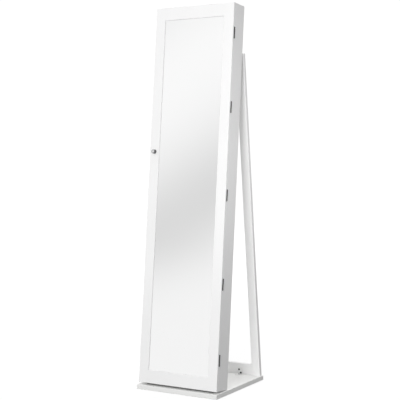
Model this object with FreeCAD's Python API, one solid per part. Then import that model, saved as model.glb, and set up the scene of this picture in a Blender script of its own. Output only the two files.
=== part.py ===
"""Free-standing jewelry cabinet: a leaning box with a mirror door, on a base board with a rear stand.

Millimetres. The origin is the middle of the base board's underside, +X to the viewer's right,
+Y to the back and +Z up. The cabinet is drawn upright, with Y measured back from the door's
front face and Z up from its bottom edge, and is then leaned back onto the base board.
"""
import FreeCAD
import Part
import math
import os

V = FreeCAD.Vector

# Base board
base_width = 368.0
base_depth = 378.0
base_thickness = 18.0
edge_ease = 1.0

# Cabinet box
cabinet_width = 359.0
cabinet_height = 1500.0
carcass_depth = 71.5
cabinet_lean = 6.3
cabinet_setback = 89.0
side_thickness = 12.0
end_panel_thickness = 12.0
back_thickness = 3.0
back_rebate = 6.0
lining_thickness = 1.5

# Door and mirror
door_thickness = 10.0
seam_gap = 0.8
stile_width = 43.5
rail_height = 52.0
mirror_reveal = 3.0
mirror_thickness = 3.0
mirror_overlap = 7.0
mirror_play = 0.5

# Tapered block between the base board and the cabinet
wedge_front_recess = 13.0
wedge_back_recess = 4.0
wedge_half_length = 150.0
wedge_screw_spread = 112.0

# Rear stand
stand_width = 359.0
stand_rear_margin = 6.0
stand_top_drop = 184.9
stand_top_gap = 7.2
leg_width = 37.0
leg_thickness = 15.0
bottom_rail_height = 45.0
top_rail_height = 60.0
cleat_drop = 4.0
cleat_height = 45.0
cleat_half_length = 120.0
cleat_screw_spread = 96.0

# Corner braces on the bottom rail
brace_offset = 87.7
brace_leaf = 28.0
brace_width = 20.0
brace_thickness = 2.0
brace_low_hole = 6.3
brace_high_hole = 19.3
brace_stagger = 3.9

# Butt hinges
hinge_height = 44.0
hinge_end_inset = 118.0
hinge_end_step = 290.0
hinge_axis_out = 0.2
hinge_leaf_width = 11.0
hinge_leaf_thickness = 1.0
hinge_leaf_gap = 0.3
hinge_knuckles = 5
knuckle_radius = 2.5
knuckle_clearance = 0.3
hinge_pin_radius = 1.1
hinge_pin_head_radius = 1.8
hinge_pin_head_height = 0.8
hinge_screw_inset = 4.0
hinge_screw_offset = 12.0

# Cam lock
lock_top_drop = 581.0
lock_projection = 12.4
lock_head_radius = 7.75
lock_flange_radius = 8.75
lock_flange_thickness = 2.0
lock_body_radius = 6.4
lock_body_depth = 9.6
plug_radius = 4.6
plug_face_radius = 5.6
plug_face_depth = 2.0
plug_setback = 0.4
keyway_width = 1.5
keyway_height = 6.6
keyway_depth = 8.0
nut_flats = 16.0
nut_thickness = 3.5
cam_length = 18.0
cam_width = 10.0
cam_thickness = 1.8
cam_square = 5.0
cam_screw_head_radius = 3.2
cam_screw_head_height = 1.8
strike_thickness = 1.2
strike_height = 16.0
strike_clearance = 1.0
strike_leg_length = 20.0
strike_screw_inset = 4.0
strike_screw_pitch = 9.0

# Catches and bumpers
catch_height = 40.0
catch_width = 10.0
catch_depth = 13.0
catch_end_offset = 80.0
keeper_thickness = 1.0
keeper_width = 12.0
magnet_inset = 3.0
bumper_radius = 4.0
bumper_thickness = 0.5
bumper_end_offset = 40.0

# Fittings inside the cabinet
shelf_thickness = 9.0
shelf_depth = 40.0
lower_shelf_height = 200.0
middle_shelf_height = 390.0
upper_shelf_drop = 128.0
guard_rod_radius = 2.0
guard_rod_rise = 28.0
guard_rod_inset = 4.0
guard_rod_socket = 5.0
necklace_rail_height = 60.0
necklace_rail_thickness = 12.0
bracelet_bar_radius = 9.0
bracelet_bar_height = 520.0
bracelet_bar_socket = 3.0
ring_board_thickness = 4.0
ring_board_height = 620.0
ring_board_margin = 8.0
ring_roll_radius = 7.6
ring_roll_flat = 1.6
ring_roll_gap = 0.4
ring_roll_count = 9
ring_roll_half_length = 155.0

# Fittings inside the door
earring_panel_half_width = 158.0
earring_panel_top_drop = 130.0
earring_panel_height = 360.0
earring_panel_thickness = 3.0
earring_panel_standoff = 6.0
earring_post_radius = 4.0
earring_post_inset = 9.0
earring_slot_width = 1.6
earring_slot_length = 28.0
earring_slot_columns = 7
earring_slot_rows = 9
earring_screw_bite = 7.0
door_hook_rail_half_length = 138.0
door_hook_rail_height = 26.0
door_hook_rail_thickness = 6.0
door_hook_rail_gap = 44.0
tray_half_length = 158.0
tray_bottom = 560.0
tray_height = 45.0
tray_depth = 26.0
tray_wall = 2.0

# Hooks, dowels and screws
hook_wire_radius = 1.25
hook_reach = 18.0
hook_bend_radius = 4.0
hook_upturn = 6.0
hook_flange_radius = 3.5
hook_flange_thickness = 1.2
hook_count = 9
hook_pitch = 31.0
hook_shank = 5.0
dowel_radius = 3.0
shelf_dowel_radius = 2.5
dowel_length = 18.0
dowel_end_inset = 20.0
rail_dowel_spread = 36.0
frame_dowel_radius = 2.5
frame_dowel_length = 30.0
stand_dowel_shares = (0.3, 0.75)
door_dowel_shares = (0.25, 0.65)
screw_radius = 2.0
screw_head_radius = 4.0
screw_recess = 1.5
small_screw_radius = 1.25
small_screw_head_radius = 2.5
small_screw_length = 9.0
brace_screw_radius = 1.75
brace_screw_head_radius = 3.7
brace_screw_head_height = 2.2
brace_screw_length = 12.0
pan_shoulder_share = 0.7
pan_edge_share = 0.4
cabinet_screw_bite = 9.0
leg_screw_bite = 30.0
recess_width = 0.8
recess_reach_share = 0.6
recess_depth_share = 0.3

# Clearances
fit = 0.05
run_gap = 0.3
overcut = 1.0
touch = 0.01

# Places that follow from the sizes above
lean = math.radians(cabinet_lean)
half_width = cabinet_width / 2
inner_half = half_width - side_thickness
carcass_front = door_thickness + seam_gap
cabinet_depth = carcass_front + carcass_depth
back_front = cabinet_depth - back_thickness
lining_front = back_front - lining_thickness
shelf_front = lining_front - shelf_depth
cabinet_foot_y = cabinet_setback - base_depth / 2
opening_half = half_width - stile_width
stand_foot_y = base_depth / 2 - stand_rear_margin - leg_thickness
stand_rise = cabinet_height * math.cos(lean) - stand_top_drop
stand_top_y = cabinet_foot_y + stand_rise * math.tan(lean) + stand_top_gap
stand_lean = math.atan2(stand_foot_y - stand_top_y, stand_rise)
stand_length = stand_rise / math.cos(stand_lean)
stand_half = stand_width / 2
leg_inner = stand_half - leg_width
hinge_axis_x = half_width + hinge_axis_out
hinge_axis_y = door_thickness + seam_gap / 2
hinge_low = (hinge_end_inset, hinge_end_inset + hinge_end_step)
hinge_high = (cabinet_height - hinge_end_inset - hinge_end_step, cabinet_height - hinge_end_inset)
hinge_heights = hinge_low + (cabinet_height / 2,) + hinge_high
lock_x = -(half_width - stile_width / 2)
lock_height = cabinet_height - lock_top_drop
lock_body_end = door_thickness + lock_body_depth
cam_front = lock_body_end + run_gap
cleat_mid = stand_length - cleat_drop - cleat_height / 2
necklace_rail_front = lining_front - necklace_rail_thickness
upper_shelf_height = cabinet_height - upper_shelf_drop
earring_panel_top = cabinet_height - earring_panel_top_drop
earring_panel_bottom = earring_panel_top - earring_panel_height
door_hook_rail_bottom = earring_panel_bottom - door_hook_rail_gap - door_hook_rail_height


def block(x0, x1, y0, y1, z0, z1):
    """Box between two corners."""
    return Part.makeBox(x1 - x0, y1 - y0, z1 - z0, V(x0, y0, z0))


def prism(profile, x0, x1):
    """Solid with a flat (y, z) profile, running along X."""
    points = [V(x0, y, z) for y, z in profile]
    face = Part.Face(Part.makePolygon(points + points[:1]))
    return face.extrude(V(x1 - x0, 0, 0))


def rod_x(x0, x1, y, z, radius):
    """Round rod along X."""
    return Part.makeCylinder(radius, x1 - x0, V(x0, y, z), V(1, 0, 0))


def placed(solid, origin, direction):
    """Stand a solid that was made round +Z at origin, pointing along direction."""
    move = FreeCAD.Placement(origin, FreeCAD.Rotation(V(0, 0, 1), direction))
    return solid.transformed(move.toMatrix(), True)


def turned(profile, origin, direction):
    """Solid of revolution: profile is (radius, height) points from the axis and back to it."""
    points = [V(radius, 0, height) for radius, height in profile]
    face = Part.Face(Part.makePolygon(points + points[:1]))
    return placed(face.revolve(V(0, 0, 0), V(0, 0, 1), 360), origin, direction)


def eased(shape, picked):
    """Chamfer the edges whose bounding box is picked."""
    edges = [edge for edge in shape.Edges if picked(edge.BoundBox)]
    return shape.makeChamfer(edge_ease, edges)


def leaned(shape):
    """Carry a piece from the upright cabinet frame to its leaning place on the base board."""
    to_foot_edge = FreeCAD.Placement(V(0, -cabinet_depth, 0), FreeCAD.Rotation())
    tilt = FreeCAD.Rotation(V(1, 0, 0), -cabinet_lean)
    onto_base = FreeCAD.Placement(V(0, cabinet_foot_y, base_thickness), tilt)
    return shape.transformed(onto_base.multiply(to_foot_edge).toMatrix(), True)


def group(solids):
    """Several separate solids kept in one node."""
    return Part.makeCompound(solids)


def cross_recess(radius):
    """Driver recess for a screw head of this radius, cut down from height 0."""
    reach = recess_reach_share * radius
    depth = recess_depth_share * radius
    arm = recess_width / 2
    along_x = block(-reach, reach, -arm, arm, -radius, depth)
    along_y = block(-arm, arm, -reach, reach, -radius, depth)
    return along_x.fuse(along_y)


def countersunk_screw(origin, direction, length, radius, head_radius):
    """Wood screw with its flat head level with origin and its point length further in."""
    cone = head_radius - radius
    profile = [(0, 0), (head_radius, 0), (radius, cone), (radius, length - 2 * radius), (0, length)]
    screw = turned(profile, V(0, 0, 0), V(0, 0, 1)).cut(cross_recess(head_radius))
    return placed(screw, origin, direction)


def countersunk_hole(origin, direction, length, radius, head_radius, above=2 * screw_recess):
    """Room for a countersunk screw, open for a distance above its head."""
    wide = head_radius + fit
    narrow = radius + fit
    cone = head_radius - radius
    end = length + fit
    profile = [(0, -above), (wide, -above), (wide, 0), (narrow, cone), (narrow, end), (0, end)]
    return turned(profile, origin, direction)


def pan_screw(origin, direction, length, radius, head_radius, head_height):
    """Round-headed screw: the head stands on origin and the shank goes in along direction."""
    profile = [
        (0, -head_height),
        (pan_shoulder_share * head_radius, -head_height),
        (head_radius, -pan_edge_share * head_height),
        (head_radius, 0),
        (radius, 0),
        (radius, length - radius),
        (0, length),
    ]
    recess = cross_recess(head_radius)
    recess.translate(V(0, 0, -head_height))
    screw = turned(profile, V(0, 0, 0), V(0, 0, 1)).cut(recess)
    return placed(screw, origin, direction)


def pilot(origin, direction, length, radius):
    """Drilled hole for a round shank, begun a little outside the surface."""
    start = origin - direction * run_gap
    return Part.makeCylinder(radius + fit, length + run_gap + fit, start, direction)


# ---------------------------------------------------------------- base board and its screws

def leg_foot_screws():
    """Origins of the screws driven up into the legs' ends, between the dowels and the outer face."""
    x = (leg_inner + frame_dowel_length / 2 + stand_half) / 2
    y = stand_foot_y + leg_thickness / 2
    return [V(side * x, y, screw_recess) for side in (-1, 1)]


def wedge_limits():
    """Y of the tapered block's front and back ends."""
    front = cabinet_foot_y - cabinet_depth * math.cos(lean) + wedge_front_recess
    back = cabinet_foot_y - wedge_back_recess
    return front, back


def cabinet_foot_screws():
    """Origins of the screws driven up through the base board and block into the cabinet."""
    front, back = wedge_limits()
    y = (front + back) / 2
    return [V(x, y, screw_recess) for x in (-wedge_screw_spread, 0, wedge_screw_spread)]


def foot_screw_places():
    """Every screw through the base board, as (origin, length)."""
    under = base_thickness - screw_recess
    front, back = wedge_limits()
    rise = (cabinet_foot_y - (front + back) / 2) * math.tan(lean)
    places = [(origin, under + leg_screw_bite) for origin in leg_foot_screws()]
    places += [(origin, under + rise + cabinet_screw_bite) for origin in cabinet_foot_screws()]
    return places


def foot_screw_holes():
    """Holes for the screws through the base board."""
    sizes = (screw_radius, screw_head_radius)
    return [countersunk_hole(origin, V(0, 0, 1), length, *sizes) for origin, length in foot_screw_places()]


def foot_screws():
    """Screws through the base board."""
    sizes = (screw_radius, screw_head_radius)
    return group([
        countersunk_screw(origin, V(0, 0, 1), length, *sizes) for origin, length in foot_screw_places()
    ])


def base_board():
    """Flat board with eased edges and countersunk holes in its underside."""
    board = block(-base_width / 2, base_width / 2, -base_depth / 2, base_depth / 2, 0, base_thickness)
    board = board.makeChamfer(edge_ease, board.Edges)
    holes = foot_screw_holes() + [brace_foot_pilot(place) for place in brace_foot_places()]
    return board.cut(holes)


def wedge_cleat():
    """Tapered block that fills the angle under the leaning cabinet."""
    front, back = wedge_limits()
    front_rise = (cabinet_foot_y - front) * math.tan(lean)
    back_rise = (cabinet_foot_y - back) * math.tan(lean)
    profile = [
        (front, base_thickness),
        (back, base_thickness),
        (back, base_thickness + back_rise),
        (front, base_thickness + front_rise),
    ]
    return prism(profile, -wedge_half_length, wedge_half_length).cut(foot_screw_holes())


# ---------------------------------------------------------------- rear stand

def stand_at(along, behind=0.0):
    """(y, z) of a point along the stand from its foot and behind its front face."""
    y = stand_foot_y - along * math.sin(stand_lean) + behind * math.cos(stand_lean)
    z = base_thickness + along * math.cos(stand_lean) + behind * math.sin(stand_lean)
    return y, z


def stand_foot_back():
    """(y, z) of the leg's rear edge where it is cut level on the base board."""
    return stand_foot_y + leg_thickness / math.cos(stand_lean), base_thickness


def cleat_screw_places():
    """Screws from behind the top rail, through the cleat, into the necklace rail, as (origin, length)."""
    y, z = stand_at(cleat_mid, leg_thickness - screw_recess)
    face_y = stand_at(cleat_mid)[0]
    cleat_thickness = face_y - cabinet_back_y(z)
    length = leg_thickness - screw_recess + cleat_thickness + back_thickness + lining_thickness
    length += cabinet_screw_bite
    return [(V(x, y, z), length) for x in (-cleat_screw_spread, 0, cleat_screw_spread)]


def forward_down():
    """Direction square to the stand, from its back to its front."""
    return V(0, -math.cos(stand_lean), -math.sin(stand_lean))


def cleat_screw_holes():
    """Holes for the cleat's screws."""
    return [
        countersunk_hole(o, forward_down(), length, screw_radius, screw_head_radius)
        for o, length in cleat_screw_places()
    ]


def cleat_screws():
    """Screws that hold the stand's top rail and cleat to the cabinet's back."""
    return group([
        countersunk_screw(o, forward_down(), length, screw_radius, screw_head_radius)
        for o, length in cleat_screw_places()
    ])


def cabinet_back_y(z):
    """Y of the cabinet's leaning back face at height z."""
    return cabinet_foot_y + (z - base_thickness) * math.tan(lean)


def stand_cleat():
    """Tapered block that fills the angle between the stand's top rail and the cabinet's back."""
    top_y, top_z = stand_at(stand_length - cleat_drop)
    low_y, low_z = stand_at(stand_length - cleat_drop - cleat_height)
    profile = [
        (top_y, top_z),
        (low_y, low_z),
        (cabinet_back_y(low_z), low_z),
        (cabinet_back_y(top_z), top_z),
    ]
    return prism(profile, -cleat_half_length, cleat_half_length).cut(cleat_screw_holes())


def stand_rail_spans():
    """Where the two rails lie along the stand, as (start, end)."""
    bottom = (0.0, bottom_rail_height)
    top = (stand_length - top_rail_height, stand_length)
    return bottom, top


def stand_dowel_solids(grow=0.0):
    """Two dowels in each leg-to-rail joint; grow gives the drilled holes."""
    pins = []
    reach = frame_dowel_length / 2 + grow
    for start, end in stand_rail_spans():
        for share in stand_dowel_shares:
            y, z = stand_at(start + share * (end - start), leg_thickness / 2)
            for side in (-1, 1):
                middle = side * leg_inner
                pins.append(rod_x(middle - reach, middle + reach, y, z, frame_dowel_radius + grow))
    return pins


def stand_leg(side):
    """One leg: a flat bar, cut level at its foot and square at its top."""
    profile = [
        (stand_foot_y, base_thickness),
        stand_foot_back(),
        stand_at(stand_length, leg_thickness),
        stand_at(stand_length),
    ]
    inner = side * leg_inner
    outer = side * stand_half
    leg = prism(profile, min(inner, outer), max(inner, outer))
    leg = eased(leg, lambda box: box.ZMax > base_thickness + touch)
    return leg.cut(stand_dowel_solids(fit) + foot_screw_holes())


def stand_bottom_rail():
    """Rail between the legs' feet, standing on the base board."""
    profile = [
        (stand_foot_y, base_thickness),
        stand_foot_back(),
        stand_at(bottom_rail_height, leg_thickness),
        stand_at(bottom_rail_height),
    ]
    rail = prism(profile, -leg_inner, leg_inner)
    pilots = [brace_rail_pilot(place) for place in brace_rail_places()]
    return rail.cut(stand_dowel_solids(fit) + pilots)


def stand_top_rail():
    """Rail between the legs' tops, which carries the cleat."""
    start = stand_length - top_rail_height
    profile = [
        stand_at(start),
        stand_at(start, leg_thickness),
        stand_at(stand_length, leg_thickness),
        stand_at(stand_length),
    ]
    return prism(profile, -leg_inner, leg_inner).cut(stand_dowel_solids(fit) + cleat_screw_holes())


# ---------------------------------------------------------------- corner braces

def brace_rail_places():
    """Points on the rail's face behind each brace, where its two upper screws go."""
    places = []
    for side in (-1, 1):
        low_y, low_z = stand_at(brace_low_hole)
        high_y, high_z = stand_at(brace_high_hole)
        places.append(V(side * brace_offset + brace_stagger, low_y, low_z))
        places.append(V(side * brace_offset - brace_stagger, high_y, high_z))
    return places


def brace_foot_places():
    """Points on the base board under each brace, where its two lower screws go."""
    places = []
    for side in (-1, 1):
        near = stand_foot_y - brace_low_hole
        far = stand_foot_y - brace_high_hole
        places.append(V(side * brace_offset - brace_stagger, near, base_thickness))
        places.append(V(side * brace_offset + brace_stagger, far, base_thickness))
    return places


def brace_rail_pilot(place):
    """Hole into the rail for a brace screw, also cut through the brace."""
    start = place + forward_down() * (2 * brace_thickness)
    return pilot(start, forward_down() * -1, brace_screw_length + brace_thickness, brace_screw_radius)


def brace_foot_pilot(place):
    """Hole down into the base board for a brace screw, also cut through the brace."""
    start = place + V(0, 0, 2 * brace_thickness)
    return pilot(start, V(0, 0, -1), brace_screw_length + brace_thickness, brace_screw_radius)


def corner_brace(side):
    """Bent steel angle: one leaf up the rail's face, one forward on the base board."""
    inner_slope = math.tan(stand_lean)
    inside_y = stand_foot_y - brace_thickness / math.cos(stand_lean) - brace_thickness * inner_slope
    profile = [
        (stand_foot_y, base_thickness),
        stand_at(brace_leaf),
        stand_at(brace_leaf, -brace_thickness),
        (inside_y, base_thickness + brace_thickness),
        (stand_foot_y - brace_leaf, base_thickness + brace_thickness),
        (stand_foot_y - brace_leaf, base_thickness),
    ]
    middle = side * brace_offset
    brace = prism(profile, middle - brace_width / 2, middle + brace_width / 2)
    holes = [brace_rail_pilot(place) for place in brace_rail_places()]
    holes += [brace_foot_pilot(place) for place in brace_foot_places()]
    return brace.cut(holes)


def brace_screw(place, inward):
    """One pan-headed brace screw whose head seats on the leaf over place."""
    seat = place - inward * brace_thickness
    sizes = (brace_screw_length, brace_screw_radius, brace_screw_head_radius, brace_screw_head_height)
    return pan_screw(seat, inward, *sizes)


# ---------------------------------------------------------------- cabinet box

def carcass_dowel_solids(grow=0.0):
    """Dowels that join the top and bottom panels to the sides."""
    depths = (carcass_front + dowel_end_inset, back_front - dowel_end_inset)
    levels = (end_panel_thickness / 2, cabinet_height - end_panel_thickness / 2)
    return side_dowels(dowel_radius, [(y, z) for z in levels for y in depths], grow)


def necklace_rail_mid():
    """Height of the necklace rail, level with the screws that come through the back."""
    z = stand_at(cleat_mid)[1]
    return (z - base_thickness) / math.cos(lean)


def shelf_dowel_solids(grow=0.0):
    """Dowels that join the shelves and the necklace rail to the sides."""
    levels = [z + shelf_thickness / 2 for z in shelf_heights()]
    depths = (shelf_front + dowel_end_inset / 2, lining_front - dowel_end_inset / 2)
    places = [(y, z) for z in levels for y in depths]
    rail_y = (necklace_rail_front + lining_front) / 2
    half_spread = rail_dowel_spread / 2
    places += [(rail_y, necklace_rail_mid() + offset) for offset in (-half_spread, half_spread)]
    return side_dowels(shelf_dowel_radius, places, grow)


def side_dowels(radius, places, grow):
    """Dowels across both inner faces of the sides at each (y, z); grow gives the holes."""
    reach = dowel_length / 2 + grow
    pins = []
    for y, z in places:
        for side in (-1, 1):
            joint = side * inner_half
            pins.append(rod_x(joint - reach, joint + reach, y, z, radius + grow))
    return pins


def shelf_heights():
    """Undersides of the three shelves."""
    return lower_shelf_height, middle_shelf_height, upper_shelf_height


def cabinet_side(side):
    """Side panel, full height, with a rebate for the back and every hole its fittings need."""
    inner = side * inner_half
    outer = side * half_width
    panel = block(min(inner, outer), max(inner, outer), carcass_front, cabinet_depth, 0, cabinet_height)
    edge = half_width - touch
    panel = eased(panel, lambda box: abs(box.XMin) > edge and abs(box.XMax) > edge)
    holes = carcass_dowel_solids(fit) + shelf_dowel_solids(fit) + guard_rods(fit)
    holes += [bracelet_bar_solid(fit), back_rebate_cut()]
    if side > 0:
        holes += [hinge_seat(height) for height in hinge_heights]
        holes += hinge_screw_holes()
    else:
        holes += strike_screw_holes()
    return panel.cut(holes)


def back_rebate_cut():
    """Room for the back panel behind the sides' inner edges."""
    reach = inner_half + back_rebate + fit
    return block(-reach, reach, back_front, cabinet_depth + overcut, -overcut, cabinet_height + overcut)


def end_panel(z0):
    """Top or bottom panel between the sides."""
    panel = block(-inner_half, inner_half, carcass_front, back_front, z0, z0 + end_panel_thickness)
    return panel.cut(carcass_dowel_solids(fit))


def cabinet_back():
    """Thin back panel, set in the sides' rebates and closing the box."""
    reach = inner_half + back_rebate
    panel = block(-reach, reach, back_front, cabinet_depth, 0, cabinet_height)
    return leaned(panel).cut(cleat_screw_holes())


def back_lining():
    """Velvet-faced lining board on the inside of the back."""
    low = end_panel_thickness
    high = cabinet_height - end_panel_thickness
    panel = block(-inner_half, inner_half, lining_front, back_front, low, high)
    return leaned(panel).cut(cleat_screw_holes())


# ---------------------------------------------------------------- fittings inside the cabinet

def shelf(z0):
    """Shelf board in front of the lining."""
    board = block(-inner_half, inner_half, shelf_front, lining_front, z0, z0 + shelf_thickness)
    return board.cut(shelf_dowel_solids(fit))


def guard_rods(grow=0.0):
    """Thin rods across the front of each shelf and of the bottom panel."""
    floors = [end_panel_thickness] + [z + shelf_thickness for z in shelf_heights()]
    reach = inner_half + guard_rod_socket + grow
    y = shelf_front + guard_rod_inset
    return [rod_x(-reach, reach, y, z + guard_rod_rise, guard_rod_radius + grow) for z in floors]


def bracelet_bar_solid(grow=0.0):
    """Round bar for bangles and watches, its ends let into the sides."""
    reach = inner_half + bracelet_bar_socket + grow
    y = (shelf_front + lining_front) / 2
    return rod_x(-reach, reach, y, bracelet_bar_height, bracelet_bar_radius + grow)


def hook(x, face_y, z, forward):
    """Wire hook: a flange on the face, a straight reach, a bend and a short upturned end.

    forward is -1 for a hook that points to the door and +1 for one that points to the back.
    """
    out = V(0, forward, 0)
    root = V(x, face_y, z)
    shank = Part.makeCylinder(hook_wire_radius, hook_shank, root, out * -1)
    reach = Part.makeCylinder(hook_wire_radius, hook_reach, root, out)
    flange = Part.makeCylinder(hook_flange_radius, hook_flange_thickness, root, out)
    bend_start = root + out * hook_reach
    section = Part.Face(Part.Wire(Part.makeCircle(hook_wire_radius, bend_start, out)))
    bend_centre = bend_start + V(0, 0, hook_bend_radius)
    bend = section.revolve(bend_centre, V(forward, 0, 0), 90)
    tip_start = bend_centre + out * hook_bend_radius
    tip = Part.makeCylinder(hook_wire_radius, hook_upturn, tip_start, V(0, 0, 1))
    ball = Part.makeSphere(hook_wire_radius, tip_start + V(0, 0, hook_upturn))
    return shank.multiFuse([reach, flange, bend, tip, ball]).removeSplitter()


def hook_places():
    """X of each hook in a row."""
    start = -hook_pitch * (hook_count - 1) / 2
    return [start + hook_pitch * index for index in range(hook_count)]


def hook_pilots(face_y, z, forward):
    """Holes for one row of hooks."""
    out = V(0, forward, 0)
    return [pilot(V(x, face_y, z), out * -1, hook_shank, hook_wire_radius) for x in hook_places()]


def necklace_rail():
    """Rail across the back that carries the necklace hooks and takes the stand's screws."""
    mid = necklace_rail_mid()
    half = necklace_rail_height / 2
    rail = block(-inner_half, inner_half, necklace_rail_front, lining_front, mid - half, mid + half)
    rail = rail.cut(shelf_dowel_solids(fit) + hook_pilots(necklace_rail_front, necklace_hook_height(), -1))
    return leaned(rail).cut(cleat_screw_holes())


def necklace_hook_height():
    """Height of the row of necklace hooks, below the stand's screws."""
    return necklace_rail_mid() - necklace_rail_height / 4


def ring_board():
    """Backing board of the ring cushions, on the lining."""
    front = lining_front - ring_board_thickness
    stack = ring_roll_count * (2 * ring_roll_radius + ring_roll_gap)
    top = ring_board_height + stack + 2 * ring_board_margin
    return block(-inner_half, inner_half, front, lining_front, ring_board_height, top)


def ring_roll(index):
    """One soft roll, flat at its back, with rounded ends; rings are pushed in above and below it."""
    radius = ring_roll_radius
    length = 2 * ring_roll_half_length
    soft_end = radius / 2
    profile = [
        (0, 0),
        (radius - soft_end, 0),
        (radius, soft_end),
        (radius, length - soft_end),
        (radius - soft_end, length),
        (0, length),
    ]
    board_front = lining_front - ring_board_thickness
    y = board_front - radius + ring_roll_flat
    pitch = 2 * radius + ring_roll_gap
    z = ring_board_height + ring_board_margin + pitch * (index + 0.5)
    roll = turned(profile, V(-ring_roll_half_length, y, z), V(1, 0, 0))
    behind = block(-length, length, board_front, board_front + 2 * radius, z - 2 * radius, z + 2 * radius)
    return roll.cut(behind)


# ---------------------------------------------------------------- door

def door_frame():
    """Whole door frame in one: outer and inner front edges eased, mirror rebate behind."""
    low = rail_height
    high = cabinet_height - rail_height
    behind = door_thickness + overcut
    frame = block(-half_width, half_width, 0, door_thickness, 0, cabinet_height)
    frame = frame.cut(block(-opening_half, opening_half, -overcut, behind, low, high))
    frame = eased(frame, lambda box: box.YMax < touch)
    reach = mirror_overlap + mirror_play
    half = opening_half + reach
    return frame.cut(block(-half, half, mirror_reveal, behind, low - reach, high + reach))


def door_frame_part(x0, x1, z0, z1, holes):
    """One member of the door frame, cut from the whole and then drilled."""
    member = door_frame().common(block(x0, x1, 0, door_thickness, z0, z1))
    return member.cut(holes)


def door_dowel_solids(grow=0.0):
    """Two dowels in each corner joint of the door frame."""
    reach = frame_dowel_length / 2 + grow
    pins = []
    radius = frame_dowel_radius + grow
    for share in door_dowel_shares:
        for z in (share * rail_height, cabinet_height - share * rail_height):
            for side in (-1, 1):
                joint = side * opening_half
                pins.append(rod_x(joint - reach, joint + reach, door_thickness / 2, z, radius))
    return pins


def door_stile(side):
    """Upright of the door frame; the left one carries the lock and the right one the hinges."""
    inner = side * opening_half
    outer = side * half_width
    holes = door_dowel_solids(fit) + [earring_screw_hole(place) for place in earring_post_places()]
    if side > 0:
        holes += [hinge_seat(height) for height in hinge_heights] + hinge_screw_holes()
    else:
        holes.append(lock_bore(-overcut, door_thickness + overcut))
    return door_frame_part(min(inner, outer), max(inner, outer), 0, cabinet_height, holes)


def door_rail(z0):
    """Cross member of the door frame."""
    return door_frame_part(-opening_half, opening_half, z0, z0 + rail_height, door_dowel_solids(fit))


def mirror_pane(y0, y1):
    """Sheet that fills the mirror's rebate between two depths."""
    half = opening_half + mirror_overlap
    low = rail_height - mirror_overlap
    return block(-half, half, y0, y1, low, cabinet_height - low)


def mirror_glass():
    """Mirror, its edges covered by the frame."""
    return mirror_pane(mirror_reveal, mirror_reveal + mirror_thickness)


def door_backing():
    """Thin board behind the mirror, level with the frame's back."""
    return mirror_pane(mirror_reveal + mirror_thickness, door_thickness)


# ---------------------------------------------------------------- hinges

def knuckle_bounds(height):
    """Top and bottom of each knuckle of the hinge at this height."""
    step = hinge_height / hinge_knuckles
    start = height - hinge_height / 2
    return [(start + step * index, start + step * (index + 1)) for index in range(hinge_knuckles)]


def barrel(z0, z1, radius):
    """Round piece on the hinge axis."""
    return Part.makeCylinder(radius, z1 - z0, V(hinge_axis_x, hinge_axis_y, z0), V(0, 0, 1))


def hinge_leaf(height, on_door):
    """One leaf: a plate with the knuckles that belong to it."""
    half = hinge_height / 2
    near = hinge_leaf_gap / 2
    far = near + hinge_leaf_thickness
    forward = -1 if on_door else 1
    y0 = min(hinge_axis_y + forward * near, hinge_axis_y + forward * far)
    x0 = hinge_axis_x - hinge_leaf_width
    plate = block(x0, hinge_axis_x, y0, y0 + hinge_leaf_thickness, height - half, height + half)
    own = []
    others = [barrel(height - hinge_height, height + hinge_height, hinge_pin_radius + fit)]
    for index, (z0, z1) in enumerate(knuckle_bounds(height)):
        if (index % 2 == 1) == on_door:
            own.append(barrel(z0 + fit, z1 - fit, knuckle_radius))
        else:
            others.append(barrel(z0 - fit, z1 + fit, knuckle_radius + knuckle_clearance))
    leaf = plate.multiFuse(own).removeSplitter()
    holes = [
        countersunk_hole(place, direction, small_screw_length, small_screw_radius, small_screw_head_radius)
        for place, direction in hinge_screw_places(height)
        if (direction.y < 0) == on_door
    ]
    return leaf.cut(others + holes)


def hinge_seat(height):
    """Shallow mortise for both leaves, with room for the barrel to turn."""
    half = hinge_height / 2 + fit
    thick = hinge_leaf_gap / 2 + hinge_leaf_thickness
    leaves = block(
        hinge_axis_x - hinge_leaf_width - fit,
        hinge_axis_x + knuckle_radius,
        hinge_axis_y - thick,
        hinge_axis_y + thick,
        height - half,
        height + half,
    )
    ends = half + hinge_pin_head_height + run_gap
    return leaves.fuse(barrel(height - ends, height + ends, knuckle_radius + knuckle_clearance))


def hinge_screw_places(height):
    """Where each screw head sits on its leaf's face, and which way the screw goes."""
    x = hinge_axis_x - hinge_leaf_width + hinge_screw_inset
    places = []
    for forward in (-1, 1):
        y = hinge_axis_y + forward * hinge_leaf_gap / 2
        for offset in (-hinge_screw_offset, hinge_screw_offset):
            places.append((V(x, y, height + offset), V(0, forward, 0)))
    return places


def hinge_screw_holes():
    """Pilot holes for every hinge screw."""
    holes = []
    for height in hinge_heights:
        for place, direction in hinge_screw_places(height):
            sizes = (small_screw_length, small_screw_radius, small_screw_head_radius)
            holes.append(countersunk_hole(place, direction, *sizes, above=fit))
    return holes


def hinge_screws(on_door):
    """Countersunk screws of all the leaves on the door or on the side."""
    screws = []
    for height in hinge_heights:
        for place, direction in hinge_screw_places(height):
            if (direction.y < 0) == on_door:
                sizes = (small_screw_length, small_screw_radius, small_screw_head_radius)
                screws.append(countersunk_screw(place, direction, *sizes))
    return group(screws)


def hinge_pin(height):
    """Pin through the knuckles, with a low head at each end."""
    half = hinge_height / 2
    end = half + hinge_pin_head_height
    profile = [
        (0, -end),
        (hinge_pin_head_radius, -end + hinge_pin_head_height / 2),
        (hinge_pin_head_radius, -half),
        (hinge_pin_radius, -half),
        (hinge_pin_radius, half),
        (hinge_pin_head_radius, half),
        (hinge_pin_head_radius, end - hinge_pin_head_height / 2),
        (0, end),
    ]
    return turned(profile, V(hinge_axis_x, hinge_axis_y, height), V(0, 0, 1))


# ---------------------------------------------------------------- lock

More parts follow.
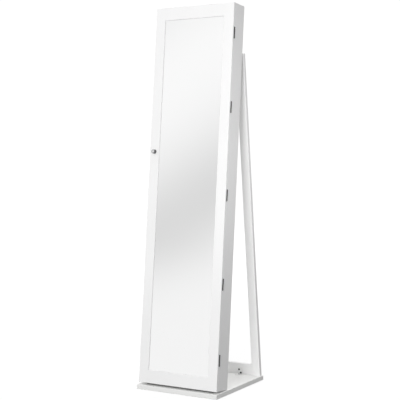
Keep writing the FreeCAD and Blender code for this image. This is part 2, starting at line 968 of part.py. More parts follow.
def along_lock(depth):
    """Point on the lock's axis at a depth behind the door's front face."""
    return V(lock_x, depth, lock_height)


def lock_block(half_width_x, half_height, start, end):
    """Block centred on the lock's axis between two depths."""
    x0 = lock_x - half_width_x
    x1 = lock_x + half_width_x
    return block(x0, x1, start, end, lock_height - half_height, lock_height + half_height)


def lock_bore(start, end):
    """Round hole for the lock's body between two depths."""
    return Part.makeCylinder(lock_body_radius + fit, end - start, along_lock(start), V(0, 1, 0))


def lock_barrel():
    """Turned lock housing: a round head in front of the stile and a body through it."""
    front = -lock_projection
    face_room = plug_setback + plug_face_depth + fit
    profile = [
        (plug_face_radius + fit, front),
        (lock_head_radius - edge_ease, front),
        (lock_head_radius, front + edge_ease),
        (lock_head_radius, -lock_flange_thickness),
        (lock_flange_radius - edge_ease / 2, -lock_flange_thickness),
        (lock_flange_radius, -lock_flange_thickness / 2),
        (lock_flange_radius, 0),
        (lock_body_radius, 0),
        (lock_body_radius, lock_body_end),
        (plug_radius + fit, lock_body_end),
        (plug_radius + fit, front + face_room),
        (plug_face_radius + fit, front + face_room),
    ]
    return turned(profile, along_lock(0), V(0, 1, 0))


def lock_nut():
    """Hexagonal nut that clamps the lock behind the stile, a flat towards the cabinet's side."""
    corner = nut_flats / 2 / math.cos(math.pi / 6)
    points = []
    for index in range(6):
        angle = math.pi / 3 * index + math.pi / 6
        across = V(corner * math.cos(angle), 0, corner * math.sin(angle))
        points.append(along_lock(door_thickness) + across)
    body = Part.Face(Part.makePolygon(points + points[:1])).extrude(V(0, nut_thickness, 0))
    return body.cut(lock_bore(door_thickness - overcut, door_thickness + nut_thickness + overcut))


def lock_plug():
    """Turning core with its keyway, and a square end for the cam."""
    start = -lock_projection + plug_setback
    profile = [
        (0, start),
        (plug_face_radius, start),
        (plug_face_radius, start + plug_face_depth),
        (plug_radius, start + plug_face_depth),
        (plug_radius, cam_front),
        (0, cam_front),
    ]
    core = turned(profile, along_lock(0), V(0, 1, 0))
    square = lock_block(cam_square / 2, cam_square / 2, cam_front - fit, cam_front + cam_thickness)
    keyway = lock_block(keyway_width / 2, keyway_height / 2, start - overcut, start + keyway_depth)
    end = along_lock(cam_front + cam_thickness)
    thread = pilot(end, V(0, -1, 0), small_screw_length, small_screw_radius)
    return core.fuse(square).removeSplitter().cut([keyway, thread])


def lock_cam():
    """Flat cam, pointing inward when unlocked, with a rounded tip and a square hole."""
    arm = cam_width / 2
    tip = lock_x + cam_length - arm
    back = cam_front + cam_thickness
    plate = block(lock_x, tip, cam_front, back, lock_height - arm, lock_height + arm)
    ends = [
        Part.makeCylinder(arm, cam_thickness, V(x, cam_front, lock_height), V(0, 1, 0))
        for x in (lock_x, tip)
    ]
    hole = cam_square / 2 + fit
    square = lock_block(hole, hole, cam_front - overcut, back + overcut)
    return plate.multiFuse(ends).removeSplitter().cut(square)


def cam_screw():
    """Screw that holds the cam on the plug's square end."""
    seat = along_lock(cam_front + cam_thickness)
    sizes = (small_screw_length, small_screw_radius, cam_screw_head_radius, cam_screw_head_height)
    return pan_screw(seat, V(0, -1, 0), *sizes)


def strike_top():
    """Height of the strike bracket's top, just below the lock's body."""
    return lock_height - lock_body_radius - strike_clearance


def strike_flange_back():
    """Depth of the flange's rear face, which the locked cam stands behind."""
    return cam_front - strike_clearance


def strike_screw_places():
    """Heads of the strike bracket's two screws, on its leg."""
    y = strike_flange_back() + strike_leg_length - strike_screw_inset
    z = strike_top() - strike_height / 2
    return [V(-inner_half + strike_thickness, depth, z) for depth in (y - strike_screw_pitch, y)]


def strike_screw_holes():
    """Countersunk holes for the strike bracket's screws."""
    sizes = (small_screw_length, small_screw_radius, small_screw_head_radius)
    return [countersunk_hole(place, V(-1, 0, 0), *sizes, above=fit) for place in strike_screw_places()]


def strike_bracket():
    """Steel angle on the left side: its flange stands in front of the cam when the lock is closed."""
    x0 = -inner_half
    back = strike_flange_back()
    front = back - strike_thickness
    low = strike_top() - strike_height
    leg = block(x0, x0 + strike_thickness, front, back + strike_leg_length, low, strike_top())
    flange = block(x0, lock_x + cam_width / 2, front, back, low, strike_top())
    return leg.fuse(flange).removeSplitter().cut(strike_screw_holes())


def strike_screws():
    """The strike bracket's two screws."""
    sizes = (small_screw_length, small_screw_radius, small_screw_head_radius)
    return group([countersunk_screw(place, V(-1, 0, 0), *sizes) for place in strike_screw_places()])


# ---------------------------------------------------------------- catches and bumpers

def catch_heights():
    """Heights of the two magnetic catches."""
    return catch_end_offset, cabinet_height - catch_end_offset


def catch_front():
    """Depth of the catches' front faces, a running gap behind the door's keeper plates."""
    return door_thickness + keeper_thickness + run_gap


def catch_magnet_block(z, grow=0.0):
    """Magnet bar in the front of a catch."""
    x0 = -inner_half + magnet_inset - grow
    x1 = -inner_half + catch_width - magnet_inset + grow
    half = catch_height / 2 - magnet_inset + grow
    return block(x0, x1, catch_front() - grow, catch_front() + catch_depth / 2 + grow, z - half, z + half)


def catch_housing(z):
    """Plastic housing on the left side's inner face."""
    front = catch_front()
    half = catch_height / 2
    body = block(-inner_half, -inner_half + catch_width, front, front + catch_depth, z - half, z + half)
    return body.cut(catch_magnet_block(z, fit))


def catch_keeper(z):
    """Steel keeper plate on the back of the door's left stile."""
    half = catch_height / 2
    x0 = -inner_half + run_gap
    back = door_thickness + keeper_thickness
    return block(x0, x0 + keeper_width, door_thickness, back, z - half, z + half)


def door_bumper(z):
    """Soft disc on the left side's front edge that the door closes against."""
    x = -(half_width - side_thickness / 2)
    start = V(x, carcass_front, z)
    return Part.makeCylinder(bumper_radius, bumper_thickness, start, V(0, -1, 0))


# ---------------------------------------------------------------- fittings inside the door

def earring_post_places():
    """Middle of each post on the door's back face."""
    x = earring_panel_half_width - earring_post_inset
    low = earring_panel_bottom + earring_post_inset
    high = earring_panel_top - earring_post_inset
    return [V(side * x, door_thickness, z) for side in (-1, 1) for z in (low, high)]


def earring_panel_front():
    """Depth of the earring panel's face that lies towards the door."""
    return door_thickness + earring_panel_standoff


def earring_screw_seat(place):
    """Head of the screw through the panel and post at this place."""
    return V(place.x, earring_panel_front() + earring_panel_thickness, place.z)


def earring_screw_length():
    """Through the panel and post, and into the stile without coming through its front."""
    return earring_panel_thickness + earring_panel_standoff + earring_screw_bite


def earring_screw_hole(place):
    """Hole for one earring panel screw, through panel, post and into the stile."""
    sizes = (earring_screw_length(), small_screw_radius, small_screw_head_radius)
    return countersunk_hole(earring_screw_seat(place), V(0, -1, 0), *sizes)


def earring_screw(place):
    """Screw through the earring panel and its post."""
    sizes = (earring_screw_length(), small_screw_radius, small_screw_head_radius)
    return countersunk_screw(earring_screw_seat(place), V(0, -1, 0), *sizes)


def earring_post(place):
    """Round spacer between the door and the earring panel."""
    post = Part.makeCylinder(earring_post_radius, earring_panel_standoff, place, V(0, 1, 0))
    return post.cut(earring_screw_hole(place))


def earring_slots():
    """Thin slots in rows for earrings to hang from."""
    front = earring_panel_front()
    back = front + earring_panel_thickness
    width = 2 * (earring_panel_half_width - 2 * earring_post_inset)
    height = earring_panel_top - earring_panel_bottom - 4 * earring_post_inset
    first_row = earring_panel_bottom + 2 * earring_post_inset
    half_length = earring_slot_length / 2
    half = earring_slot_width / 2
    slots = []
    for column in range(earring_slot_columns):
        x = width * ((column + 0.5) / earring_slot_columns - 0.5)
        for row in range(earring_slot_rows):
            z = first_row + height * (row + 0.5) / earring_slot_rows
            slots.append(block(x - half_length, x + half_length, front, back, z - half, z + half))
    return slots


def earring_panel():
    """Velvet-faced panel held off the door on four posts."""
    front = earring_panel_front()
    back = front + earring_panel_thickness
    half = earring_panel_half_width
    panel = block(-half, half, front, back, earring_panel_bottom, earring_panel_top)
    return panel.cut(earring_slots() + [earring_screw_hole(place) for place in earring_post_places()])


def door_hook_rail():
    """Strip on the door's back that carries a row of hooks."""
    half = door_hook_rail_half_length
    top = door_hook_rail_bottom + door_hook_rail_height
    back = door_thickness + door_hook_rail_thickness
    rail = block(-half, half, door_thickness, back, door_hook_rail_bottom, top)
    return rail.cut(hook_pilots(back, door_hook_height(), 1))


def door_hook_height():
    """Height of the door's row of hooks."""
    return door_hook_rail_bottom + door_hook_rail_height / 2


def door_tray():
    """Open tray for small things, its back on the door."""
    half = tray_half_length
    back = door_thickness + tray_depth
    top = tray_bottom + tray_height
    tray = block(-half, half, door_thickness, back, tray_bottom, top)
    inside = half - tray_wall
    front = door_thickness + tray_wall
    room = block(-inside, inside, front, back - tray_wall, tray_bottom + tray_wall, top + overcut)
    return tray.cut(room)


# ---------------------------------------------------------------- every node

upright_nodes = {
    "cabinet_side_left": cabinet_side(-1),
    "cabinet_side_right": cabinet_side(1),
    "cabinet_top": end_panel(cabinet_height - end_panel_thickness),
    "carcass_dowels": group(carcass_dowel_solids()),
    "shelf_dowels": group(shelf_dowel_solids()),
    "shelf_lower": shelf(lower_shelf_height),
    "shelf_middle": shelf(middle_shelf_height),
    "shelf_upper": shelf(upper_shelf_height),
    "shelf_guard_rods": group(guard_rods()),
    "necklace_hooks": group([
        hook(x, necklace_rail_front, necklace_hook_height(), -1) for x in hook_places()
    ]),
    "bracelet_bar": bracelet_bar_solid(),
    "ring_board": ring_board(),
    "ring_rolls": group([ring_roll(index) for index in range(ring_roll_count)]),
    "door_stile_left": door_stile(-1),
    "door_stile_right": door_stile(1),
    "door_rail_bottom": door_rail(0.0),
    "door_rail_top": door_rail(cabinet_height - rail_height),
    "door_dowels": group(door_dowel_solids()),
    "mirror_glass": mirror_glass(),
    "door_backing": door_backing(),
    "hinge_cabinet_leaves": group([hinge_leaf(height, False) for height in hinge_heights]),
    "hinge_door_leaves": group([hinge_leaf(height, True) for height in hinge_heights]),
    "hinge_cabinet_screws": hinge_screws(False),
    "hinge_door_screws": hinge_screws(True),
    "hinge_pins": group([hinge_pin(height) for height in hinge_heights]),
    "lock_barrel": lock_barrel(),
    "lock_nut": lock_nut(),
    "lock_plug": lock_plug(),
    "lock_cam": lock_cam(),
    "lock_cam_screw": cam_screw(),
    "strike_bracket": strike_bracket(),
    "strike_screws": strike_screws(),
    "catch_housings": group([catch_housing(z) for z in catch_heights()]),
    "catch_magnets": group([catch_magnet_block(z) for z in catch_heights()]),
    "catch_keepers": group([catch_keeper(z) for z in catch_heights()]),
    "door_bumpers": group([door_bumper(z) for z in (bumper_end_offset, cabinet_height - bumper_end_offset)]),
    "earring_panel": earring_panel(),
    "earring_posts": group([earring_post(place) for place in earring_post_places()]),
    "earring_screws": group([earring_screw(place) for place in earring_post_places()]),
    "door_hook_rail": door_hook_rail(),
    "door_hooks": group([
        hook(x, door_thickness + door_hook_rail_thickness, door_hook_height(), 1) for x in hook_places()
    ]),
    "door_tray": door_tray(),
}

standing_nodes = {
    "base_board": base_board(),
    "foot_screws": foot_screws(),
    "wedge_cleat": wedge_cleat(),
    "cabinet_bottom": leaned(end_panel(0.0)).cut(foot_screw_holes()),
    "cabinet_back": cabinet_back(),
    "back_lining": back_lining(),
    "necklace_rail": necklace_rail(),
    "stand_leg_left": stand_leg(-1),
    "stand_leg_right": stand_leg(1),
    "stand_bottom_rail": stand_bottom_rail(),
    "stand_top_rail": stand_top_rail(),
    "stand_dowels": group(stand_dowel_solids()),
    "stand_cleat": stand_cleat(),
    "stand_cleat_screws": cleat_screws(),
    "corner_braces": group([corner_brace(side) for side in (-1, 1)]),
    "brace_rail_screws": group([brace_screw(place, forward_down() * -1) for place in brace_rail_places()]),
    "brace_base_screws": group([brace_screw(place, V(0, 0, -1)) for place in brace_foot_places()]),
}

os.makedirs("parts", exist_ok=True)
nodes = {name: leaned(shape) for name, shape in upright_nodes.items()}
nodes.update(standing_nodes)
for name, shape in nodes.items():
    shape.exportStep("parts/" + name + ".step")
    print(name, len(shape.Solids), round(shape.Volume, 1), shape.isValid())
print("nodes", len(nodes), "stand lean", round(math.degrees(stand_lean), 2))
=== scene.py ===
import bpy
import bmesh
import math
from mathutils import Matrix, Vector, noise as hills


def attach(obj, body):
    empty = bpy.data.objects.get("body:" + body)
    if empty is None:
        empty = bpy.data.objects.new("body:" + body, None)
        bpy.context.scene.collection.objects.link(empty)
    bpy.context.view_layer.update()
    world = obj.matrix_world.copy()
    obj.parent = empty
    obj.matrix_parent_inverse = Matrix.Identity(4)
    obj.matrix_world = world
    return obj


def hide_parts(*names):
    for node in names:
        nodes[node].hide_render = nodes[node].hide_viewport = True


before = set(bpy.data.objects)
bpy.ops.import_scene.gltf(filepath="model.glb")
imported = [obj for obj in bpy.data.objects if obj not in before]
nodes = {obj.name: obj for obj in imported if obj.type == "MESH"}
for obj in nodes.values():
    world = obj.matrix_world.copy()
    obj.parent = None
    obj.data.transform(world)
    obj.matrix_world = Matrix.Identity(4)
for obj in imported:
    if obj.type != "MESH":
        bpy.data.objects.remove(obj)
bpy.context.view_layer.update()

# ------------------------------------------------------------------ viewpoint
# A long lens at the height of the lock, a little to the right of the mirror,
# looking slightly down. The shift puts the whole cabinet in the square frame.
eye = Vector((2.160, -3.531, 0.987))
gaze = Vector((-0.5198, 0.8532, -0.0441))
camera = bpy.data.cameras.new("viewpoint")
camera.sensor_width = 36.0
camera.lens = 93.1
camera.shift_x = -0.0023
camera.shift_y = -0.037
viewpoint = bpy.data.objects.new("viewpoint", camera)
roll = Matrix.Rotation(math.radians(-0.6), 4, "Z")
viewpoint.matrix_world = Matrix.Translation(eye) @ gaze.to_track_quat("-Z", "Y").to_matrix().to_4x4() @ roll
bpy.context.scene.collection.objects.link(viewpoint)
bpy.context.scene.camera = viewpoint
bpy.context.scene.view_settings.view_transform = "Standard"


# ------------------------------------------------------------------ studio
# A white room without corners: pale floor, white all round, and two soft grey
# arches that the mirror picks up. The lamps are wide, so that shadows stay soft.
def node(tree, kind, **settings):
    """New node in a tree; settings name its own properties."""
    made = tree.nodes.new(kind)
    for name, value in settings.items():
        setattr(made, name, value)
    return made


def feed(tree, socket, source):
    """Join a source to a socket, or set the socket's own value."""
    if isinstance(source, bpy.types.NodeSocket):
        tree.links.new(source, socket)
    else:
        socket.default_value = source


def calculate(tree, operation, first, second=0.0, third=0.0):
    """Result of one sum on numbers or sockets."""
    step = node(tree, "ShaderNodeMath", operation=operation)
    for socket, source in zip(step.inputs, (first, second, third)):
        feed(tree, socket, source)
    return step.outputs[0]


arch_through = (math.radians(31.0), math.radians(7.9))
arch_slope = math.radians(40.2)
arch_width = 0.054
arch_depths = ((0.0, 0.235), (0.215, 0.26))
room_white = 0.945
room_rise = 0.21
mirrored_floor = 0.91
horizon_top = 0.09
room_light = 0.64
less_from_right = 0.50
more_from_behind = 0.30
more_from_left = 0.30

turn, rise = arch_through
arch_middle = Vector((-math.sin(turn) * math.cos(rise), -math.cos(turn) * math.cos(rise), math.sin(rise)))
sideways = Vector((-math.cos(turn), math.sin(turn), 0.0))
upward = sideways.cross(arch_middle)
arch_along = sideways * math.cos(arch_slope) - upward * math.sin(arch_slope)
arch_normal = arch_along.cross(arch_middle).normalized()

room = bpy.data.worlds.new("white_room")
bpy.context.scene.world = room
room.use_nodes = True
tree = room.node_tree
tree.nodes.clear()
rays = node(tree, "ShaderNodeLightPath")
heading = node(tree, "ShaderNodeTexCoord")
across = node(tree, "ShaderNodeVectorMath", operation="DOT_PRODUCT")
feed(tree, across.inputs[0], heading.outputs["Generated"])
across.inputs[1].default_value = arch_normal
arch = calculate(tree, "MULTIPLY_ADD", across.outputs["Value"], room_rise, room_white)
for arch_offset, depth in arch_depths:
    away = calculate(tree, "DIVIDE", calculate(tree, "SUBTRACT", across.outputs["Value"], arch_offset), arch_width)
    falloff = calculate(tree, "EXPONENT", calculate(tree, "MULTIPLY", calculate(tree, "MULTIPLY", away, away), -1.0))
    arch = calculate(tree, "SUBTRACT", arch, calculate(tree, "MULTIPLY", falloff, depth))
arch = calculate(tree, "MINIMUM", arch, 1.0)
seen_in_gloss = calculate(tree, "MAXIMUM", rays.outputs["Is Glossy Ray"], rays.outputs["Is Transmission Ray"])
apart = node(tree, "ShaderNodeSeparateXYZ")
feed(tree, apart.inputs["Vector"], heading.outputs["Generated"])
above_floor = node(tree, "ShaderNodeMapRange", interpolation_type="SMOOTHSTEP")
feed(tree, above_floor.inputs["Value"], apart.outputs["Z"])
above_floor.inputs["From Max"].default_value = horizon_top
reflected = node(tree, "ShaderNodeMix", data_type="FLOAT")
feed(tree, reflected.inputs["Factor"], above_floor.outputs["Result"])
reflected.inputs["A"].default_value = mirrored_floor
feed(tree, reflected.inputs["B"], arch)
to_the_right = calculate(tree, "MAXIMUM", apart.outputs["X"], 0.0)
behind = calculate(tree, "MAXIMUM", apart.outputs["Y"], 0.0)
to_the_left = calculate(tree, "MAXIMUM", calculate(tree, "MULTIPLY", apart.outputs["X"], -1.0), 0.0)
soft_white = calculate(tree, "MULTIPLY_ADD", to_the_right, -less_from_right, room_light)
soft_white = calculate(tree, "MULTIPLY_ADD", behind, more_from_behind, soft_white)
soft_white = calculate(tree, "MULTIPLY_ADD", to_the_left, more_from_left, soft_white)
glow = node(tree, "ShaderNodeMix", data_type="FLOAT")
feed(tree, glow.inputs["Factor"], seen_in_gloss)
feed(tree, glow.inputs["A"], soft_white)
feed(tree, glow.inputs["B"], reflected.outputs["Result"])
shown = calculate(tree, "MAXIMUM", glow.outputs["Result"], rays.outputs["Is Camera Ray"])
sky = node(tree, "ShaderNodeBackground")
sky.inputs["Color"].default_value = (1.0, 1.0, 1.0, 1.0)
feed(tree, sky.inputs["Strength"], shown)
feed(tree, node(tree, "ShaderNodeOutputWorld").inputs["Surface"], sky.outputs["Background"])

floor_half = 7.0
floor_mesh = bpy.data.meshes.new("floor")
corners = [(x * floor_half, y * floor_half, 0) for x, y in ((-1, -1), (1, -1), (1, 1), (-1, 1))]
floor_mesh.from_pydata(corners, [], [(0, 1, 2, 3)])
floor = bpy.data.objects.new("floor", floor_mesh)
bpy.context.scene.collection.objects.link(floor)

paper = bpy.data.materials.new("floor_paper")
paper.use_nodes = True
tree = paper.node_tree
tree.nodes.clear()
rays = node(tree, "ShaderNodeLightPath")
matt = node(tree, "ShaderNodeBsdfDiffuse")
matt.inputs["Color"].default_value = (0.22, 0.22, 0.22, 1)
lift = node(tree, "ShaderNodeEmission")
lift.inputs["Color"].default_value = (1.0, 1.0, 1.0, 1.0)
spot = node(tree, "ShaderNodeVectorMath", operation="LENGTH")
feed(tree, spot.inputs[0], node(tree, "ShaderNodeTexCoord").outputs["Object"])
paler = node(tree, "ShaderNodeMapRange", interpolation_type="SMOOTHSTEP")
feed(tree, paler.inputs["Value"], spot.outputs["Value"])
paler.inputs["From Min"].default_value = 0.5
paler.inputs["From Max"].default_value = 3.0
paler.inputs["To Min"].default_value = 0.80
paler.inputs["To Max"].default_value = 0.97
feed(tree, lift.inputs["Strength"], calculate(tree, "MULTIPLY", rays.outputs["Is Camera Ray"], paler.outputs["Result"]))
both = node(tree, "ShaderNodeAddShader")
feed(tree, both.inputs[0], matt.outputs[0])
feed(tree, both.inputs[1], lift.outputs[0])
mirrored = node(tree, "ShaderNodeEmission")
mirrored.inputs["Color"].default_value = (1.0, 1.0, 1.0, 1.0)
mirrored.inputs["Strength"].default_value = mirrored_floor
seen = calculate(tree, "MAXIMUM", rays.outputs["Is Glossy Ray"], rays.outputs["Is Transmission Ray"])
either = node(tree, "ShaderNodeMixShader")
feed(tree, either.inputs["Fac"], seen)
feed(tree, either.inputs[1], both.outputs[0])
feed(tree, either.inputs[2], mirrored.outputs[0])
feed(tree, node(tree, "ShaderNodeOutputMaterial").inputs["Surface"], either.outputs[0])
floor_mesh.materials.append(paper)


def lamp(name, place, target, size, power):
    """Wide square lamp that lights the object without showing in the mirror."""
    light = bpy.data.lights.new(name, "AREA")
    light.size = size
    light.energy = power
    hung = bpy.data.objects.new(name, light)
    aim = (Vector(target) - Vector(place)).to_track_quat("-Z", "Y")
    hung.matrix_world = Matrix.Translation(place) @ aim.to_matrix().to_4x4()
    hung.visible_glossy = False
    hung.visible_camera = False
    bpy.context.scene.collection.objects.link(hung)


lamp("front_lamp", (1.2, -5.2, 2.0), (0.0, 0.0, 0.7), 2.0, 158.0)
lamp("top_lamp", (0.3, 1.0, 3.6), (0.0, 0.1, 0.0), 2.0, 32.0)
lamp("side_lamp", (0.9, -0.34, 1.0), (0.1, 0.0, 0.95), 0.4, 2.0)


# ------------------------------------------------------------------ base board
# Square fibreboard panel that carries everything, sprayed with white satin
# lacquer. Its edges are sanded round before the lacquer, which leaves a fine skin.
def object_place(tree, stretch=(1.0, 1.0, 1.0)):
    """Position on the piece in metres, with a stretch along each axis."""
    where = node(tree, "ShaderNodeTexCoord")
    scaled = node(tree, "ShaderNodeMapping")
    scaled.inputs["Scale"].default_value = stretch
    feed(tree, scaled.inputs["Vector"], where.outputs["Object"])
    return scaled.outputs["Vector"]


def cloud(tree, scale, detail=3.0, stretch=(1.0, 1.0, 1.0)):
    """Soft random pattern, scale per metre."""
    pattern = node(tree, "ShaderNodeTexNoise")
    pattern.inputs["Scale"].default_value = scale
    pattern.inputs["Detail"].default_value = detail
    feed(tree, pattern.inputs["Vector"], object_place(tree, stretch))
    return pattern.outputs["Fac"]


def spread(tree, source, low, high, start=0.3, end=0.7):
    """Map a pattern's middle range onto low to high."""
    step = node(tree, "ShaderNodeMapRange")
    feed(tree, step.inputs["Value"], source)
    step.inputs["From Min"].default_value = start
    step.inputs["From Max"].default_value = end
    step.inputs["To Min"].default_value = low
    step.inputs["To Max"].default_value = high
    return step.outputs["Result"]


def color_along(tree, shader, source, low, high, start=0.3, end=0.7):
    """Let the surface's colour run from one tone to the other along a pattern."""
    ramp = node(tree, "ShaderNodeValToRGB")
    for stone, place, color in zip(ramp.color_ramp.elements, (start, end), (low, high)):
        stone.position = place
        stone.color = (*color, 1.0)
    feed(tree, ramp.inputs["Fac"], source)
    feed(tree, shader.inputs["Base Color"], ramp.outputs["Color"])


def relief(tree, shader, height, depth, strength=1.0, soft_edge=0.0):
    """Raise the surface by a pattern; soft_edge also rounds hard corners in the light."""
    raised = node(tree, "ShaderNodeBump")
    raised.inputs["Strength"].default_value = strength
    raised.inputs["Distance"].default_value = depth
    feed(tree, raised.inputs["Height"], height)
    if soft_edge:
        rounded = node(tree, "ShaderNodeBevel", samples=4)
        rounded.inputs["Radius"].default_value = soft_edge
        feed(tree, raised.inputs["Normal"], rounded.outputs["Normal"])
    feed(tree, shader.inputs["Normal"], raised.outputs["Normal"])


def finish(name, metallic=0.0, **sockets):
    """New material; returns it with its tree and shader. Sockets are set by name."""
    material = bpy.data.materials.new(name)
    material.use_nodes = True
    tree = material.node_tree
    shader = tree.nodes["Principled BSDF"]
    shader.inputs["Metallic"].default_value = metallic
    for socket, value in sockets.items():
        shader.inputs[socket.replace("_", " ")].default_value = value
    return material, tree, shader


def dress(material, *names):
    """Give CAD nodes a material."""
    for name in names:
        for held in nodes[name].material_slots:
            held.material = material


def lacquered(name, low, high):
    """Sprayed satin lacquer between two close tones, over smooth fibreboard."""
    material, tree, shader = finish(name, Specular_IOR_Level=0.42)
    color_along(tree, shader, cloud(tree, 4.0, 2.0), low, high)
    feed(tree, shader.inputs["Roughness"], spread(tree, cloud(tree, 30.0), 0.30, 0.42))
    skin = calculate(tree, "ADD", cloud(tree, 260.0, 1.0), calculate(tree, "MULTIPLY", cloud(tree, 1400.0, 2.0), 0.25))
    relief(tree, shader, skin, 0.00012, 0.35, soft_edge=0.0009)
    return material


base_lacquer = lacquered("base_lacquer", (0.86, 0.86, 0.85), (0.89, 0.89, 0.88))
dress(base_lacquer, "base_board")

# ------------------------------------------------------------------ foot screws
# Bright zinc wood screws, driven up through the base board's underside into the
# legs and the cabinet. Their heads sit just below the surface.
zinc, tree, shader = finish("zinc_plate", metallic=1.0)
flake = cloud(tree, 900.0, 4.0)
color_along(tree, shader, flake, (0.50, 0.51, 0.53), (0.72, 0.73, 0.74))
feed(tree, shader.inputs["Roughness"], spread(tree, flake, 0.24, 0.42))
relief(tree, shader, cloud(tree, 2500.0), 0.00003, 0.5)
dress(zinc, "foot_screws", "stand_cleat_screws", "brace_base_screws")

# ------------------------------------------------------------------ tapered blocks
# Two strips of fibreboard planed to the angle of the lean. The one under the
# cabinet is coloured dark grey as painted shade, so that the gap in front of it reads as a shadow line.
# The one between the back and the stand's top rail is lacquered like the frame.
# Dark grey here is painted shade for the gap under the cabinet, not a real stain.
wedge_painted_shade, tree, shader = finish("wedge_painted_shade", Specular_IOR_Level=0.15)
fibres = cloud(tree, 900.0, 5.0)
color_along(tree, shader, fibres, (0.13, 0.13, 0.13), (0.19, 0.19, 0.185))
feed(tree, shader.inputs["Roughness"], spread(tree, fibres, 0.7, 0.9))
relief(tree, shader, fibres, 0.0001, 0.5)
dress(wedge_painted_shade, "wedge_cleat")

frame_lacquer = lacquered("frame_lacquer", (0.87, 0.87, 0.87), (0.90, 0.90, 0.90))
dress(frame_lacquer, "stand_cleat")

# ------------------------------------------------------------------ rear stand
# Two flat legs and two rails, dowelled and glued into a tall frame, lacquered
# white as one. It stands on the base board and is screwed to the cabinet's back.
dress(frame_lacquer, "stand_leg_left", "stand_leg_right", "stand_bottom_rail", "stand_top_rail")

# ------------------------------------------------------------------ dowels
# Fluted beech pins, glued into the ends of rails, shelves and panels. Only a
# loosened joint would show them.
beech, tree, shader = finish("beech", Specular_IOR_Level=0.35)
grain = node(tree, "ShaderNodeTexWave", wave_type="BANDS", bands_direction="Z")
grain.inputs["Scale"].default_value = 260.0
grain.inputs["Distortion"].default_value = 3.0
grain.inputs["Detail"].default_value = 3.0
feed(tree, grain.inputs["Vector"], object_place(tree, (0.08, 1.0, 1.0)))
color_along(tree, shader, grain.outputs["Fac"], (0.50, 0.31, 0.16), (0.66, 0.45, 0.26), 0.2, 0.8)
feed(tree, shader.inputs["Roughness"], spread(tree, grain.outputs["Fac"], 0.5, 0.7))
relief(tree, shader, grain.outputs["Fac"], 0.0001, 0.5)
dress(beech, "stand_dowels", "carcass_dowels", "shelf_dowels", "door_dowels")

# ------------------------------------------------------------------ corner braces
# Small bent steel angles in white powder coat, between the stand's bottom rail
# and the base board. Zinc screws hold them to the rail and to the board; the rail screws are coloured near black as
# painted dark reflection.
powder, tree, shader = finish("powder_coat", Specular_IOR_Level=0.45)
color_along(tree, shader, cloud(tree, 150.0), (0.84, 0.84, 0.83), (0.89, 0.89, 0.88))
feed(tree, shader.inputs["Roughness"], spread(tree, cloud(tree, 600.0), 0.35, 0.5))
relief(tree, shader, cloud(tree, 1800.0, 1.0), 0.00008, 0.6, soft_edge=0.0006)
dress(powder, "corner_braces")

# Near black colour on the rail screws is painted dark reflection of the cabinet's back.
rail_screws_painted_reflection, tree, shader = finish("rail_screws_painted_reflection", Specular_IOR_Level=0.25)
color_along(tree, shader, cloud(tree, 1200.0), (0.008, 0.008, 0.009), (0.022, 0.022, 0.024))
feed(tree, shader.inputs["Roughness"], spread(tree, cloud(tree, 700.0), 0.45, 0.65))
relief(tree, shader, cloud(tree, 2500.0), 0.00003, 0.4)
dress(rail_screws_painted_reflection, "brace_rail_screws")

# ------------------------------------------------------------------ cabinet box
# Long sides with top and bottom panels between them, in lacquered fibreboard.
# A thin hardboard back with a white printed face lies in the sides' rebates.
dress(frame_lacquer, "cabinet_side_left", "cabinet_side_right", "cabinet_top", "cabinet_bottom")

hardboard, tree, shader = finish("white_hardboard", Specular_IOR_Level=0.3)
fleck = cloud(tree, 700.0, 5.0)
color_along(tree, shader, fleck, (0.82, 0.82, 0.81), (0.88, 0.88, 0.87), 0.32, 0.62)
feed(tree, shader.inputs["Roughness"], spread(tree, cloud(tree, 60.0), 0.45, 0.6))
relief(tree, shader, cloud(tree, 900.0, 4.0), 0.00008, 0.5)
dress(hardboard, "cabinet_back", "door_backing")

# ------------------------------------------------------------------ shelves
# Three lacquered boards on dowels. A thin polished rod in front of each floor
# keeps bottles and boxes in.
dress(frame_lacquer, "shelf_lower", "shelf_middle", "shelf_upper")

polished, tree, shader = finish("polished_chrome", metallic=1.0)
color_along(tree, shader, cloud(tree, 80.0), (0.62, 0.63, 0.65), (0.70, 0.71, 0.72))
feed(tree, shader.inputs["Roughness"], spread(tree, cloud(tree, 1500.0, 5.0), 0.06, 0.16))
relief(tree, shader, cloud(tree, 3000.0, 2.0), 0.00001, 0.3)
dress(polished, "shelf_guard_rods", "necklace_hooks", "door_hooks")

# ------------------------------------------------------------------ velvet boards
# The back's lining, the hook rails, the ring board, the earring panel and the
# bangle bar are wrapped in short black velvet, whose pile shows brushed patches.
velvet, tree, shader = finish(
    "black_velvet", Roughness=0.9, Specular_IOR_Level=0.1, Sheen_Weight=0.55, Sheen_Roughness=0.35
)
brushed = cloud(tree, 22.0, 4.0, (1.0, 1.0, 0.6))
pile = cloud(tree, 4200.0, 2.0)
shade = calculate(tree, "ADD", calculate(tree, "MULTIPLY", brushed, 0.7), calculate(tree, "MULTIPLY", pile, 0.3))
color_along(tree, shader, shade, (0.013, 0.013, 0.015), (0.026, 0.026, 0.029), 0.36, 0.62)
relief(tree, shader, pile, 0.0004, 0.7)
dress(velvet, "back_lining", "necklace_rail", "ring_board", "earring_panel", "door_hook_rail", "bracelet_bar")

# ------------------------------------------------------------------ ring rolls
# Soft foam rolls in black velvet, laid close together on their board, with the
# ends tucked in. Rings are pressed into the folds between them.
loose = bmesh.new()
loose.from_mesh(nodes["ring_rolls"].data)
bmesh.ops.remove_doubles(loose, verts=loose.verts, dist=1e-6)
waiting = set(loose.verts)
spans = []
while waiting:
    patch = [waiting.pop()]
    reached = list(patch)
    while patch:
        for edge in patch.pop().link_edges:
            for vert in edge.verts:
                if vert in waiting:
                    waiting.discard(vert)
                    patch.append(vert)
                    reached.append(vert)
    low = Vector([min(v.co[k] for v in reached) for k in range(3)])
    high = Vector([max(v.co[k] for v in reached) for k in range(3)])
    spans.append((low, high))
loose.free()
spans.sort(key=lambda span: span[0].z)

